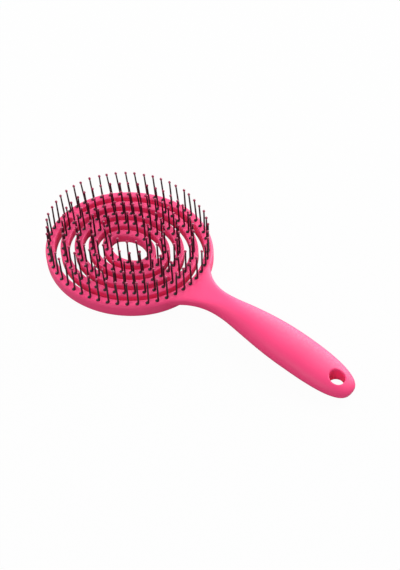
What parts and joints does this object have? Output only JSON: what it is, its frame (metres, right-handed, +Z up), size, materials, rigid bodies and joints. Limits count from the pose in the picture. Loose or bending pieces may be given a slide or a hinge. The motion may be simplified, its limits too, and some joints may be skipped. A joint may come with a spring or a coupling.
{
  "type": "detangling brush",
  "caption": "Oval vented detangling hairbrush: flexing concentric rings inside a rim, straight ball-tipped pins and a rounded handle with a hanging hole.",
  "frame": {"origin": "under the middle of the whole brush, halfway along its length, on the surface that the far side of the rim and the belly of the grip lie on", "axes": "+X from the head to the end of the handle, +Z up, the way the pins point; to about one degree; the brush is the same either side of the XZ plane"},
  "size_m": [0.1899, 0.0856, 0.0248],
  "materials": {
    "body": "pink plastic with a soft-touch matte coat",
    "pin": "near-black nylon, satin",
    "tip": "dipped resin, smooth"
  },
  "bodies": {
    "root": {"brush_body": "body", "rim_pins": "pin", "outer_ring_pins": "pin", "third_ring_pins": "pin", "second_ring_pins": "pin", "inner_ring_pins": "pin", "rim_pin_tips": "tip", "outer_ring_pin_tips": "tip", "third_ring_pin_tips": "tip", "second_ring_pin_tips": "tip", "inner_ring_pin_tips": "tip"}
  },
  "joints": []
}
